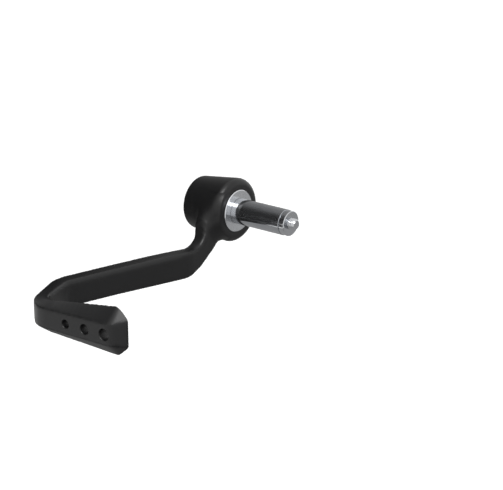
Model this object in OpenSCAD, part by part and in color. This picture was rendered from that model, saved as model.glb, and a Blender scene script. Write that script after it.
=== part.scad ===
// Brake lever guard for the right-hand end of a motorcycle handlebar.
// The origin is the centre of the spacer disc's inner face, where the end of
// the handlebar tube butts. +X points inboard along the bar, +Y back to the
// rider and +Z up, so the arm reaches forward along -Y.

/* [Clamp stem] */
// Outside diameter of the split sleeve that slides into the bar
stem_d = 13.5; // [11:0.1:17]
// Length of the split sleeve
sleeve_len = 31.1; // [24:0.1:45]
// Bore of the split sleeve
sleeve_bore = 9; // [8:0.1:9.6]
// Width of the slit along the sleeve
slit_w = 1.2; // [0.6:0.1:2]
// Depth of the coned seat in each end of the sleeve
cone_len = 5; // [3:0.1:8]
// Widest diameter of the coned seats
cone_d = 11.8; // [10.6:0.1:12.4]
// Thickness of the visible rim of the taper nut
nut_rim = 3.3; // [2:0.1:6]
// Diameter of the visible rim of the taper nut
nut_d = 13; // [12:0.1:13.4]
// Chamfer on the rims of the turned pieces
rim_chamfer = 0.3; // [0.1:0.05:0.5]

/* [Clamp bolt] */
// Thread diameter of the clamp bolt
bolt_d = 6; // [5:0.1:6.4]
// How far the bolt's tip stands out of the taper nut
bolt_past = 3.5; // [1:0.1:6]
// Chamfer on the bolt's tip
tip_chamfer = 0.8; // [0.4:0.1:1]
// Diameter of the wide flat head
head_d = 14; // [11:0.1:16]
// Height of the head
head_h = 5; // [4:0.1:5.5]
// Diameter of the dished recess in the head
dish_d = 8; // [6.6:0.1:10]
// Depth of the dished recess
dish_depth = 0.8; // [0.4:0.1:1.2]
// Width across flats of the hexagon socket
hex_af = 5; // [4:0.5:5]
// Depth of the hexagon socket below the recess
hex_depth = 2.6; // [2:0.1:3]
// Gap between the bolt and the holes that it passes through
bolt_gap = 0.3; // [0.1:0.05:0.5]

/* [Spacer and weight] */
// Diameter of the spacer disc, the same as the handlebar tube
disc_d = 22.2; // [20:0.1:25.4]
// Thickness of the spacer disc
disc_t = 3.5; // [2:0.1:5]
// Width of the relief groove round the end of the sleeve, in the disc's face
relief_w = 0.15; // [0.1:0.05:0.8]
// Depth of the relief groove
relief_depth = 0.5; // [0.2:0.1:1]
// Diameter of the steel weight inside the moulding
weight_d = 20; // [14:0.1:21]
// Plastic web between the weight and the bolt head
web_t = 2.6; // [2:0.1:4]
// Gap around the pieces that drop into the moulding
seat_gap = 0.05; // [0.02:0.01:0.2]

/* [Barrel] */
// Step from the spacer disc's face back to the moulding's inner face
face_step = 0.5; // [0.2:0.1:2]
// Length of the barrel along the bar
barrel_len = 26.6; // [25:0.1:40]
// Diameter of the cone where it would meet the inner face
barrel_in_d = 34.7; // [31:0.1:40]
// Diameter of the cone where it would meet the outer face
barrel_out_d = 27.6; // [24:0.1:34]
// Rounding of the inner end
round_in = 3.4; // [1:0.1:5]
// Rounding of the outer end
round_out = 1.8; // [0.5:0.1:4]

/* [Neck] */
// Distance of the neck's inboard face from the spacer disc's face
neck_x = 4.95; // [3:0.05:8]
// Thickness of the neck along the bar
neck_t = 7.2; // [5:0.1:9]
// Extra thickness on the outboard side where the neck leaves the barrel
neck_flare = 2; // [0:0.1:3]
// Width of the neck at its narrowest
neck_w = 10.3; // [7:0.1:12]
// Radius of the hollow curve where the neck turns into the arm
elbow_r = 10.2; // [7:0.1:13]
// Distance of that curve's centre in front of the bar axis
elbow_y = 30.3; // [27:0.1:34]
// Depth of that curve's centre below the bar axis
elbow_z = 4.7; // [3:0.1:9]

/* [Arm] */
// Depth of the arm's upper edge below the bar axis
arm_top = 15.9; // [14:0.1:18]
// Depth of the arm's lower edge below the bar axis
arm_bottom = 29.4; // [26:0.1:32]
// How much higher the upper edge is where the arm leaves the neck
root_rise = 1; // [0:0.1:2]
// Outward lean of the arm in plan, in degrees
arm_angle = 15.9; // [8:0.1:22]
// Where the arm's inboard face starts to lean out, in front of the bar axis
arm_start_y = 32.8; // [31:0.1:38]
// Length of the arm's inboard face, up to the first bend
arm_len = 71.6; // [50:0.1:90]
// Thickness of the arm
arm_t = 8.9; // [6:0.1:12]
// Rounding of the long edges on the outboard side
edge_r = 1.5; // [0.6:0.1:2.2]
// Rounding of the upper edge on the inboard side
inner_r = 1.9; // [0.6:0.1:2.4]

/* [Bends] */
// Inboard angle of the stretch between the bends, in degrees
link_angle = 18.4; // [10:0.1:30]
// Length of that stretch on its inboard side
link_len = 24.7; // [18:0.1:40]
// Inside radius of the first bend
bend1_r = 7; // [3:0.1:12]
// Inside radius of the second bend
bend2_r = 9; // [4:0.1:12]
// Depth of the outboard side's lower edge at the first bend
bend1_bottom = 30.2; // [28:0.1:33]
// Depth of the inboard side's lower edge where the second bend starts
bend2_bottom = 33.4; // [30:0.1:34]
// Thickness where the second bend starts
bend2_t = 7.7; // [6:0.1:10]

/* [Blade] */
// Length of the blade's rear face from the second bend's corner to the tip
blade_len = 51.6; // [44:0.1:80]
// Rearward lean of the blade, in degrees
blade_angle = 3.75; // [0:0.25:10]
// Thickness of the blade
blade_t = 6.7; // [5:0.1:9]
// Depth of the rear face's upper edge where the blade starts
root_top = 15.2; // [14:0.1:17.5]
// Depth of the rear face's lower edge where the blade starts
root_bottom = 32.9; // [30:0.1:34]
// Depth of the rear face's upper corner near the tip
tip_top = 9.6; // [8:0.1:14]
// Depth of the rear face's lower corner near the tip
tip_bottom = 35.1; // [32:0.1:37]
// Depth of the flat front face's upper edge
front_top = 17.7; // [16:0.1:18.4]
// Depth of the flat front face's lower edge
front_bottom = 28; // [27.6:0.1:30]
// Length of the bevelled tip along the blade
tip_bevel = 5.9; // [4:0.1:10]
// Depth of the blunt end's upper corner
end_top = 15; // [14:0.1:18]
// Depth of the blunt end's lower corner
end_bottom = 29.8; // [27:0.1:31]
// Thickness of the rim around the tip
rim_t = 0.9; // [0.6:0.1:2]
// Rounding of the tip's outline at its upper corner
tip_upper_r = 4.5; // [1:0.1:6]
// Rounding at the blunt end's upper corner
end_upper_r = 3; // [1:0.1:4]
// Rounding at the blunt end's lower corner
end_lower_r = 2.2; // [1:0.1:4]
// Rounding of the tip's outline at its lower corner
tip_lower_r = 3; // [1:0.1:6]
// Rounding where the flat front face turns to the bevelled tip
bevel_r = 6; // [1:0.1:8]
// Rounding of the blade's front edges where it starts
blade_r = 1.2; // [0.3:0.1:1.5]
// Rounding of the blade's sharper rear edges where it starts
rear_r = 0.4; // [0.2:0.1:1]
// Rounding of the front face's long edges near the tip
front_r = 1.2; // [0.3:0.1:1.5]
// Rounding of the sharp rim around the tip
tip_r = 0.3; // [0.1:0.05:0.4]

/* [Holes in the blade] */
// Depth of the row of holes below the bar axis
hole_drop = 23; // [22:0.1:24]
// Distance from the tip to the nearest hole
hole_from_tip = 9.6; // [8:0.1:14]
// Distance between neighbouring holes
hole_pitch = 11.7; // [9:0.1:13]
// Diameter of the hole nearest the tip
hole_d = 5.6; // [4:0.1:7]
// Amount by which each further hole is smaller
hole_step = 0.8; // [0:0.1:0.9]
// Rounding of each hole's mouth on the front face
hole_r = 0.7; // [0.2:0.1:0.8]

/* [Hidden] */

// Smoothness of the turned faces
$fn = 96;
// Steps round each corner of the moulding's sections, and round the barrel's two ends
corner_steps = 3;
barrel_steps = [12, 8];
// Largest turn between two sections in a bend, in degrees
bend_step = 7.5;
// Sections between the bends, and along the blade
link_steps = 3;
blade_steps = 5;
// Sections round the tip, as shares of the bevel's length
tip_shares = [1.25, 1.08, 0.92, 0.72, 0.52, 0.33, 0.17, 0.07, 0.02, 0];
// Steps round each corner of the tip's outline
outline_steps = 6;
// A cut runs this far past the face that it opens
past = 1;

// Places along the bar axis, as X
inner_face_x = -face_step;
outer_face_x = inner_face_x - barrel_len;
seat_x = -disc_t;
head_seat_x = outer_face_x + head_h;
weight_end_x = head_seat_x + web_t;
nut_end_x = sleeve_len + nut_rim;
tip_x = nut_end_x + bolt_past;
clear_d = bolt_d + 2 * bolt_gap;

// Places in front of the bar axis, as Y
arm_from = [-neck_x, -arm_start_y];
bend1 = arm_from + arm_len * [-sin(arm_angle), -cos(arm_angle)];
bend2 = bend1 + link_len * [sin(link_angle), -cos(link_angle)];
blade_dir = [cos(blade_angle), sin(blade_angle)];
blade_end = bend2 + blade_len * blade_dir;

// A point a given share of the way from a to b
function between(a, b, share) = a + (b - a) * share;
function unit(v) = v / norm(v);

// Turns a profile of [radius, x] points about the bar axis
module turned() {
    rotate([0, 90, 0])
        rotate_extrude()
            children();
}

// A rod or hole along the bar axis from x = from to x = to
module rod(d, from, to) {
    translate([from, 0, 0])
        rotate([0, 90, 0])
            cylinder(d = d, h = to - from);
}

// The same with a chamfer on each rim
module chamfered_rod(d, from, to, chamfer_from, chamfer_to) {
    turned()
        polygon([
            [0, from],
            [d / 2 - chamfer_from, from],
            [d / 2, from + chamfer_from],
            [d / 2, to - chamfer_to],
            [d / 2 - chamfer_to, to],
            [0, to]
        ]);
}

// A cone along the bar axis, wide where the sleeve ends and as wide as its bore cone_len further in
module sleeve_cone(wide_x, narrow_x) {
    rotate([0, 90, 0])
        translate([0, 0, min(wide_x, narrow_x)])
            cylinder(
                d1 = wide_x < narrow_x ? cone_d : sleeve_bore,
                d2 = wide_x < narrow_x ? sleeve_bore : cone_d,
                h = cone_len
            );
}

// Round corner b between a and c, as a list of points on the arc
function rounded_corner(a, b, c, r, steps) =
    let (
        u = unit(a - b),
        v = unit(c - b),
        half = acos(max(-1, min(1, u * v))) / 2,
        centre = b + unit(u + v) * r / sin(half),
        from = b + u * r / tan(half) - centre,
        to = b + v * r / tan(half) - centre,
        turn = 180 - 2 * half,
        side = sign(from.x * to.y - from.y * to.x)
    )
    [for (i = [0 : steps])
        let (t = side * turn * i / steps)
        centre + [from.x * cos(t) - from.y * sin(t), from.x * sin(t) + from.y * cos(t)]];

function rounded_outline(corners, r, steps) =
    [for (i = [0 : len(corners) - 1])
        let (n = len(corners))
        each rounded_corner(corners[(i + n - 1) % n], corners[i], corners[(i + 1) % n], r[i], steps)];

// An edge from its first corner on, with each of its inner corners rounded
function rounded_edge(corners, r) =
    [corners[0],
        for (i = [1 : len(corners) - 2])
            each rounded_corner(corners[i - 1], corners[i], corners[i + 1], r[i - 1], outline_steps)];

// The barrel's profile as [radius, x]
module barrel_profile() {
    corners = [
        [0, outer_face_x],
        [barrel_out_d / 2, outer_face_x],
        [barrel_in_d / 2, inner_face_x],
        [0, inner_face_x]
    ];
    polygon(concat(
        [corners[0]],
        rounded_corner(corners[0], corners[1], corners[2], round_out, barrel_steps[1]),
        rounded_corner(corners[1], corners[2], corners[3], round_in, barrel_steps[0]),
        [corners[3]]
    ));
}

// One section of the moulding, in a plane through the point at, spanned by the directions
// out and up: t thick, with inner and outer as the [top, bottom] of its two faces
function section(at, out, up, t, inner, outer, r) = [at, out, up, t, inner, outer, r];

// The rounded corners of a section, as points in space
function section_points(s) =
    let (
        t = s[3],
        inner = s[4],
        outer = s[5],
        corners = [[0, inner[0]], [t, outer[0]], [t, outer[1]], [0, inner[1]]],
        outline = rounded_outline(corners, s[6], corner_steps)
    )
    [for (p = outline) s[0] + p.x * s[1] + p.y * s[2]];

// A section that stands upright, at a plan point with a heading in degrees
function upright(p, heading, t, inner, outer, r) =
    section([p.x, p.y, 0], [sin(heading), -cos(heading), 0], [0, 0, 1], t, inner, outer, r);

// Rounding of a section's corners: inner top, outer top, outer bottom, inner bottom
arm_round = [inner_r, edge_r, edge_r, edge_r];
neck_round = [edge_r, edge_r, edge_r, edge_r];
blade_round = [rear_r, blade_r, blade_r, rear_r];
tip_round = [tip_r, front_r, front_r, tip_r];
end_round = [tip_r, tip_r, tip_r, tip_r];

// The neck starts inside the barrel: front edge as y and z, tilt and width
neck_start = [
    [-15, -2.6, -30, 12],
    [-18.3, -4.4, -12, 14]
];
// Then it fans round the elbow: tilt, extra width, share of the flare
neck_fan = [
    [0, 7.1, 1],
    [15, 5.6, 0.7],
    [28, 3.4, 0.3],
    [40, 0.8, 0],
    [52, 0.1, 0],
    [64, 0.4, 0],
    [77, 1.5, 0]
];
function neck_row(y, z, tilt, w, t) =
    section([-neck_x, y, z], [-1, 0, 0], [0, -cos(tilt), sin(tilt)], t, [0, -w], [0, -w], neck_round);
neck_sections = concat(
    [for (f = neck_start) neck_row(f[0], f[1], f[2], f[3], neck_t)],
    [for (f = neck_fan)
        neck_row(elbow_r * cos(f[0]) - elbow_y, -elbow_r * sin(f[0]) - elbow_z, f[0],
            neck_w + f[1], neck_t + f[2] * neck_flare)]
);

// Stations round a bend in plan: corner, headings before and after, radius
function bend_stations(corner, h0, h1, r) =
    let (
        turn = h1 - h0,
        reach = r * tan(abs(turn) / 2),
        start = corner - reach * [cos(h0), sin(h0)],
        centre = start + r * [-sin(h0), cos(h0)],
        n = max(2, ceil(abs(turn) / bend_step))
    )
    [for (i = [0 : n])
        let (h = h0 + turn * i / n)
        [centre + r * [sin(h), -cos(h)], h]];

heading_arm = -90 - arm_angle;
heading_link = -90 + link_angle;
heading_blade = blade_angle;
bend1_row = bend_stations(bend1, heading_arm, heading_link, bend1_r);
bend2_row = bend_stations(bend2, heading_link, heading_blade, bend2_r);
bend1_last = bend1_row[len(bend1_row) - 1];
bend2_last = bend2_row[len(bend2_row) - 1];
blade_span = norm(blade_end - bend2_last[0]);

// Levels of the moulding's edges on the way to the tip, each as [top, bottom]. The outboard
// side's upper edge sinks to the level of the front face, by these shares: at the first bend's
// start and end, and at the second bend's start.
sink = [0.1, 0.45, 0.6];
root_levels = [-arm_top + root_rise, -arm_bottom];
arm_levels = [-arm_top, -arm_bottom];
bend1_inner = [-arm_top, -between(arm_bottom, bend1_bottom, 0.5)];
bend1_before = [-between(arm_top, front_top, sink[0]), -bend1_bottom];
bend1_outer = [-between(arm_top, front_top, sink[1]), -bend1_bottom];
bend2_inner = [-arm_top, -bend2_bottom];
bend2_outer = -between([arm_top, bend1_bottom], [front_top, front_bottom], sink[2]);
blade_inner = [-root_top, -root_bottom];
blade_outer = [-front_top, -front_bottom];

// The blade's rear outline and its thickness from root to tip, against the distance from the tip
upper_corners = [[blade_span, -root_top], [tip_bevel, -tip_top], [0, -end_top], [0, -end_bottom]];
lower_corners = [[blade_span, -root_bottom], [tip_bevel, -tip_bottom], [0, -end_bottom], [0, -end_top]];
front_corners = [[blade_span, blade_t], [tip_bevel, blade_t], [0, rim_t]];
upper_edge = rounded_edge(upper_corners, [tip_upper_r, end_upper_r]);
lower_edge = rounded_edge(lower_corners, [tip_lower_r, end_lower_r]);
front_edge = concat(rounded_edge(front_corners, [bevel_r]), [front_corners[2]]);

// The blade's section at a distance from the tip
function blade_section(d) =
    let (
        rear = [lookup(d, upper_edge), lookup(d, lower_edge)],
        end = [lookup(0, upper_edge), lookup(0, lower_edge)],
        k = min(1, d / tip_bevel),
        far = min(1, d / blade_span),
        r = d < tip_bevel ? between(end_round, tip_round, k) : between(tip_round, blade_round, far)
    )
    upright(blade_end - d * blade_dir, heading_blade, lookup(d, front_edge), rear,
        between(end, blade_outer, k), r);

// The arm's first sections: x and y from arm_from, share of the lean, extra thickness,
// and how much higher the lower edge is
arm_start = [
    [0, 1.5, 0.2, 0, 0.8],
    [-0.4, -1.5, 0.6, 0.4, 0.1]
];
// Then the arm swells while its upper edge sinks: share of its length, share of the swelling
arm_swell = [
    [0.09, 0.5],
    [0.3, 1],
    [0.6, 1]
];
arm_sections = concat(
    [for (f = arm_start)
        let (levels = root_levels + [0, f[4]])
        upright(arm_from + [f[0], f[1]], -90 - arm_angle * f[2], neck_t + f[3], levels, levels, neck_round)],
    [for (f = arm_swell)
        let (levels = between(root_levels, arm_levels, f[0]))
        upright(between(arm_from, bend1, f[0]), heading_arm, between(neck_t, arm_t, f[1]),
            levels, levels, arm_round)],
    [for (s = bend1_row)
        let (k = (s[1] - heading_arm) / (heading_link - heading_arm))
        upright(s[0], s[1], arm_t, bend1_inner, between(bend1_before, bend1_outer, k), arm_round)],
    [for (i = [1 : link_steps - 1])
        let (k = i / link_steps)
        upright(between(bend1_last[0], bend2_row[0][0], k), heading_link, between(arm_t, bend2_t, k),
            between(bend1_inner, bend2_inner, k), between(bend1_outer, bend2_outer, k), arm_round)],
    [for (s = bend2_row)
        let (k = (s[1] - heading_link) / (heading_blade - heading_link))
        upright(s[0], s[1], between(bend2_t, blade_t, k), between(bend2_inner, blade_inner, k),
            between(bend2_outer, blade_outer, k), between(arm_round, blade_round, k))],
    [for (i = [1 : blade_steps])
        blade_section(between(blade_span, tip_bevel * tip_shares[0], i / (blade_steps + 1)))],
    [for (k = tip_shares) blade_section(k * tip_bevel)]
);

// A skin over a row of sections, closed at both ends
module skin(sections) {
    rings = [for (s = sections) section_points(s)];
    n = len(rings[0]);
    last = len(rings) - 1;
    points = [for (ring = rings) each ring];
    polyhedron(
        points = points,
        faces = concat(
            [[for (i = [0 : n - 1]) i]],
            [for (k = [0 : last - 1], i = [0 : n - 1])
                [k * n + i, (k + 1) * n + i, (k + 1) * n + (i + 1) % n, k * n + (i + 1) % n]],
            [[for (i = [n - 1 : -1 : 0]) last * n + i]]
        ),
        convexity = 6
    );
}

// The three holes through the blade, each with a rounded mouth on the front face
module blade_holes() {
    for (i = [0 : 2]) {
        at = blade_end - (hole_from_tip + i * hole_pitch) * blade_dir;
        r = hole_d / 2 - i * hole_step / 2;
        centre = [r + hole_r, blade_t - hole_r];
        mouth = [for (t = [0 : 15 : 90]) centre + hole_r * [-cos(t), sin(t)]];
        translate([at.x, at.y, -hole_drop])
            rotate([0, 0, blade_angle])
                rotate([90, 0, 0])
                    rotate_extrude($fn = 48)
                        polygon(concat(
                            [[0, -past], [r, -past]],
                            mouth,
                            [[r + hole_r, blade_t + past], [0, blade_t + past]]
                        ));
    }
}

// Moulded guard: barrel, neck, arm and blade in one piece
module guard_moulding() {
    color("#1d1d1f")
        difference() {
            union() {
                turned() barrel_profile();
                skin(concat(neck_sections, arm_sections));
            }
            rod(disc_d + 2 * seat_gap, seat_x, inner_face_x + past);
            rod(weight_d + 2 * seat_gap, weight_end_x, inner_face_x);
            rod(clear_d, outer_face_x - past, inner_face_x);
            rod(head_d + 2 * seat_gap, outer_face_x - past, head_seat_x);
            blade_holes();
        }
}

// Steel weight behind the spacer, clamped between it and the plastic web
module bar_end_weight() {
    color("#8f9397")
        difference() {
            chamfered_rod(weight_d, weight_end_x, seat_x, rim_chamfer, rim_chamfer);
            rod(clear_d, weight_end_x - past, seat_x + past);
        }
}

// Turned spacer with a cone that spreads the sleeve's end and a relief groove round it
module spacer_disc() {
    color("#c9ccd0")
        difference() {
            union() {
                difference() {
                    chamfered_rod(disc_d, seat_x, 0, rim_chamfer, rim_chamfer);
                    rod(stem_d + 2 * relief_w, -relief_depth, past);
                }
                rod(cone_d, seat_x, 0);
                sleeve_cone(0, cone_len);
            }
            rod(clear_d, seat_x - past, cone_len + past);
        }
}

// Split sleeve that grips the bore of the handlebar
module expander_sleeve() {
    color("#b8bcc2")
        difference() {
            rod(stem_d, 0, sleeve_len);
            rod(sleeve_bore, -past, sleeve_len + past);
            sleeve_cone(0, cone_len);
            sleeve_cone(sleeve_len, sleeve_len - cone_len);
            rotate([-45, 0, 0])
                translate([-past, 0, -slit_w / 2])
                    cube([sleeve_len + 2 * past, stem_d, slit_w]);
        }
}

// Threaded nut whose cone spreads the inner end of the sleeve
module taper_nut() {
    color("#c4c7cb")
        difference() {
            union() {
                chamfered_rod(nut_d, sleeve_len, nut_end_x, rim_chamfer, rim_chamfer);
                sleeve_cone(sleeve_len, sleeve_len - cone_len);
            }
            rod(bolt_d, sleeve_len - cone_len - past, nut_end_x + past);
        }
}

// Clamp bolt with a wide flat head, a round recess and a hexagon socket
module clamp_bolt() {
    color("#d6d8da")
        difference() {
            union() {
                chamfered_rod(head_d, outer_face_x, head_seat_x, rim_chamfer, rim_chamfer);
                chamfered_rod(bolt_d, head_seat_x - past, tip_x, tip_chamfer, tip_chamfer);
            }
            rod(dish_d, outer_face_x - past, outer_face_x + dish_depth);
            translate([outer_face_x, 0, 0])
                rotate([0, 90, 0])
                    cylinder(d = hex_af / cos(30), h = dish_depth + hex_depth, $fn = 6);
        }
}

guard_moulding();
bar_end_weight();
spacer_disc();
expander_sleeve();
taper_nut();
clamp_bolt();
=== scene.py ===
"""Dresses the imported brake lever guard: smooth meshes, finishes, a pale studio and the camera.

Every length in the classes is in millimetres, in the frame of the CAD model: the origin is the
centre of the spacer disc's face, +X points inboard along the handlebar, +Y back to the rider and
+Z up. Meshes are built in millimetres and brought to metres once, when they are finished.
"""

from __future__ import annotations

import logging
import math
from collections.abc import Callable, Sequence
from dataclasses import dataclass, field
from enum import Enum

import bmesh
import bpy
from mathutils import Matrix, Vector

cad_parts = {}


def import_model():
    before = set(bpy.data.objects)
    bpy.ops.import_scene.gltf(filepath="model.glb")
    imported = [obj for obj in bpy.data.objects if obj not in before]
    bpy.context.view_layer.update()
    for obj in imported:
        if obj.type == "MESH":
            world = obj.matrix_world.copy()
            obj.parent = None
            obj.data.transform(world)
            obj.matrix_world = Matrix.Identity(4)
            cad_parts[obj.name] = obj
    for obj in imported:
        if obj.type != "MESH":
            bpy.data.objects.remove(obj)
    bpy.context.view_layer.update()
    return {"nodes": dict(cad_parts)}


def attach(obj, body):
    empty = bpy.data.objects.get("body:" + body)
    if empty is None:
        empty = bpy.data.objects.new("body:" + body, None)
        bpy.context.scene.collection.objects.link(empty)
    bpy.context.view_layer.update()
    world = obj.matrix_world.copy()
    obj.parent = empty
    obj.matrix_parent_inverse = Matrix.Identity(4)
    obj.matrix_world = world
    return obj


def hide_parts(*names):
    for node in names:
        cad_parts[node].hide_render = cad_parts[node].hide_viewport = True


LOG = logging.getLogger("lever_guard")
MM = 0.001
BODY = "root"
WELD_MM = 1e-4  # points nearer than this are one point
SQUARE_MM = 0.01  # too small a rounding to see, for a corner that stays square
QUARTER_TURN = 0.25  # as a share of a full turn
EASE = 0.5  # how much of the way between a table's rows is eased, the rest is straight
Pair = tuple[float, float]
Levels = tuple[float, float]
Triple = tuple[float, float, float]
Radii = tuple[float, float, float, float]
Table = tuple[tuple[float, ...], ...]


class Slot(Enum):
    """The names of the material slots."""

    NYLON = "moulded_nylon"
    STEEL = "turned_steel"
    ALUMINIUM = "turned_aluminium"
    SLEEVE = "polished_sleeve"
    ZINC = "zinc_plated_steel"


# Colours and nodes


def linear(hex_colour: str) -> tuple[float, float, float, float]:
    """Turns an sRGB hex colour to the linear values that Blender shades with.

    Args:
        hex_colour: The colour as six hex digits, with or without a leading #.

    Returns:
        Red, green and blue as linear values, and an alpha of 1.
    """
    digits = hex_colour.lstrip("#")
    channels = [int(digits[i : i + 2], 16) / 255 for i in (0, 2, 4)]
    red, green, blue = (
        c / 12.92 if c <= 0.04045 else ((c + 0.055) / 1.055) ** 2.4 for c in channels
    )
    return red, green, blue, 1.0


def add_node(
    tree: bpy.types.NodeTree,
    kind: str,
    settings: dict[str, object] | None = None,
    inputs: dict[str | int, object] | None = None,
) -> bpy.types.Node:
    """Adds a node with its settings, and sets or links its inputs.

    Args:
        tree: The node tree that takes the node.
        kind: The node's Blender type.
        settings: Attributes of the node, by name.
        inputs: Values or output sockets for the node's inputs, by name or number.

    Returns:
        The new node.
    """
    node = tree.nodes.new(kind)
    for name, value in (settings or {}).items():
        setattr(node, name, value)
    for name, value in (inputs or {}).items():
        if isinstance(value, bpy.types.NodeSocket):
            tree.links.new(value, node.inputs[name])
        else:
            node.inputs[name].default_value = value
    return node


def blank_material(name: str) -> tuple[bpy.types.Material, bpy.types.NodeTree, bpy.types.Node]:
    """Makes a material that holds only its output node.

    Args:
        name: The material's name.

    Returns:
        The material, its node tree and the output node.
    """
    material = bpy.data.materials.new(name)
    material.use_nodes = True
    tree = material.node_tree
    tree.nodes.clear()
    return material, tree, add_node(tree, "ShaderNodeOutputMaterial")


# Finishes


@dataclass(frozen=True)
class MouldedNylon:
    """Glass-filled nylon, injection moulded in a lightly spark-eroded mould.

    The eye gets a satin black that goes slightly uneven over a few centimetres, with a fine
    grain that only breaks up the edges of the highlights. The real grain, about 0.1 mm wide, is
    too fine to show, so it is drawn 0.35 mm wide.

    Attributes:
        cloud_noise: Detail and roughness of the noise that makes the black uneven.
        grain_noise: Detail and roughness of the noise that makes the grain.
    """

    name: str = "moulded_nylon_satin_black"
    dark: str = "#0a0a0b"
    light: str = "#0e0e0f"
    rough_low: float = 0.34
    rough_high: float = 0.42
    specular: float = 0.4
    ior: float = 1.5
    cloud_mm: float = 14.0
    grain_mm: float = 0.35
    grain_depth_mm: float = 0.004
    cloud_noise: Pair = (3.0, 0.5)
    grain_noise: Pair = (2.0, 0.6)

    def make(self) -> bpy.types.Material:
        """Makes the material.

        Returns:
            The satin black.
        """
        material, tree, out = blank_material(self.name)
        place = add_node(tree, "ShaderNodeTexCoord").outputs["Object"]
        cloud, grain = (
            add_node(
                tree,
                "ShaderNodeTexNoise",
                inputs={
                    "Vector": place,
                    "Scale": 1 / (width * MM),
                    "Detail": noise[0],
                    "Roughness": noise[1],
                },
            ).outputs["Fac"]
            for width, noise in (
                (self.cloud_mm, self.cloud_noise),
                (self.grain_mm, self.grain_noise),
            )
        )
        colour = add_node(
            tree,
            "ShaderNodeMix",
            {"data_type": "RGBA"},
            {0: cloud, 6: linear(self.dark), 7: linear(self.light)},
        )
        rough = add_node(
            tree,
            "ShaderNodeMapRange",
            inputs={"Value": cloud, "To Min": self.rough_low, "To Max": self.rough_high},
        )
        bump = add_node(
            tree,
            "ShaderNodeBump",
            inputs={"Strength": 1.0, "Distance": self.grain_depth_mm * MM, "Height": grain},
        )
        shader = add_node(
            tree,
            "ShaderNodeBsdfPrincipled",
            inputs={
                "Base Color": colour.outputs[2],
                "Roughness": rough.outputs["Result"],
                "Specular IOR Level": self.specular,
                "IOR": self.ior,
                "Normal": bump.outputs["Normal"],
            },
        )
        tree.links.new(shader.outputs["BSDF"], out.inputs["Surface"])
        return material


@dataclass(frozen=True)
class TurnedMetal:
    """A metal turned on a lathe about the bar axis and then polished or plated.

    The rings that the tool leaves run round the bar axis. They draw each reflection out across
    themselves, so a face gets bright rays from its centre, and they show close up as fine lines.
    A real feed of about 0.1 mm is too fine to show, so the rings are drawn two to four times as
    coarse.

    Attributes:
        name: The material's name.
        bright: The colour of its brighter patches.
        dull: The colour of its duller patches.
        roughness: The mean roughness.
        stretch: How far reflections are drawn out across the rings, from 0 to 1.
        ring_mm: The distance between rings.
        ring_depth_mm: The depth of the rings.
        wobble: How unevenly the rings run.
        blotch_mm: The width of the patches.
        uneven: The share by which roughness differs in the patches.
    """

    name: str
    bright: str
    dull: str
    roughness: float
    stretch: float
    ring_mm: float
    ring_depth_mm: float
    wobble: float = 0.6
    blotch_mm: float = 6.0
    uneven: float = 0.2

    def make(self) -> bpy.types.Material:
        """Makes the material.

        Returns:
            The metal, whose reflections are drawn out across the rings.
        """
        material, tree, out = blank_material(self.name)
        place = add_node(tree, "ShaderNodeTexCoord").outputs["Object"]
        # A wave texture repeats every pi / 10 units at a scale of 1.
        rings = add_node(
            tree,
            "ShaderNodeTexWave",
            {"wave_type": "RINGS", "rings_direction": "X", "wave_profile": "SIN"},
            {
                "Vector": place,
                "Scale": math.pi / (10 * self.ring_mm * MM),
                "Distortion": self.wobble,
                "Detail": 2.0,
            },
        )
        blotch = add_node(
            tree,
            "ShaderNodeTexNoise",
            inputs={"Vector": place, "Scale": 1 / (self.blotch_mm * MM), "Detail": 4.0},
        )
        colour = add_node(
            tree,
            "ShaderNodeMix",
            {"data_type": "RGBA"},
            {0: blotch.outputs["Fac"], 6: linear(self.dull), 7: linear(self.bright)},
        )
        rough = add_node(
            tree,
            "ShaderNodeMapRange",
            inputs={
                "Value": blotch.outputs["Fac"],
                "To Min": self.roughness * (1 + self.uneven),
                "To Max": self.roughness * (1 - self.uneven),
            },
        )
        bump = add_node(
            tree,
            "ShaderNodeBump",
            inputs={
                "Strength": 1.0,
                "Distance": self.ring_depth_mm * MM,
                "Height": rings.outputs["Fac"],
            },
        )
        round_axis = add_node(tree, "ShaderNodeTangent", {"direction_type": "RADIAL", "axis": "X"})
        shader = add_node(
            tree,
            "ShaderNodeBsdfPrincipled",
            inputs={
                "Base Color": colour.outputs[2],
                "Metallic": 1.0,
                "Roughness": rough.outputs["Result"],
                "Anisotropic": self.stretch,
                "Anisotropic Rotation": QUARTER_TURN,
                "Normal": bump.outputs["Normal"],
                "Tangent": round_axis.outputs["Tangent"],
            },
        )
        tree.links.new(shader.outputs["BSDF"], out.inputs["Surface"])
        return material


# Aluminium, faced on the lathe: nearly white, with soft rays from the centre.
FACED_ALUMINIUM = TurnedMetal(
    "aluminium_turned_bright", "#e0e2e5", "#d2d4d7", 0.20, 0.40, 0.30, 0.0004
)
# Aluminium, turned and polished: a clearer mirror, with dark and light bands along the stem.
POLISHED_SLEEVE = TurnedMetal(
    "aluminium_sleeve_polished", "#c4c6c9", "#b4b6ba", 0.12, 0.30, 0.40, 0.0003
)
# The nut has the same polish as the sleeve, in paler colours that paint on extra lightness, so that
# it closes the stem with a light ring.
NUT_PAINTED_LIGHTER = TurnedMetal(
    "aluminium_nut_turned", "#d0d2d5", "#c2c4c7", 0.12, 0.30, 0.40, 0.0003
)
# Bright zinc plate on steel: a cool grey, with softer highlights than bare aluminium has.
ZINC_PLATE = TurnedMetal(
    "steel_bright_zinc_plated", "#cfd0d2", "#bbbdc0", 0.18, 0.40, 0.25, 0.0006
)
# Plain turned steel: darker and duller, with deeper tool marks.
TURNED_STEEL = TurnedMetal(
    "steel_turned_plain", "#9c9d9f", "#8a8b8d", 0.30, 0.50, 0.35, 0.0015
)


# Mesh helpers


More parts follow.
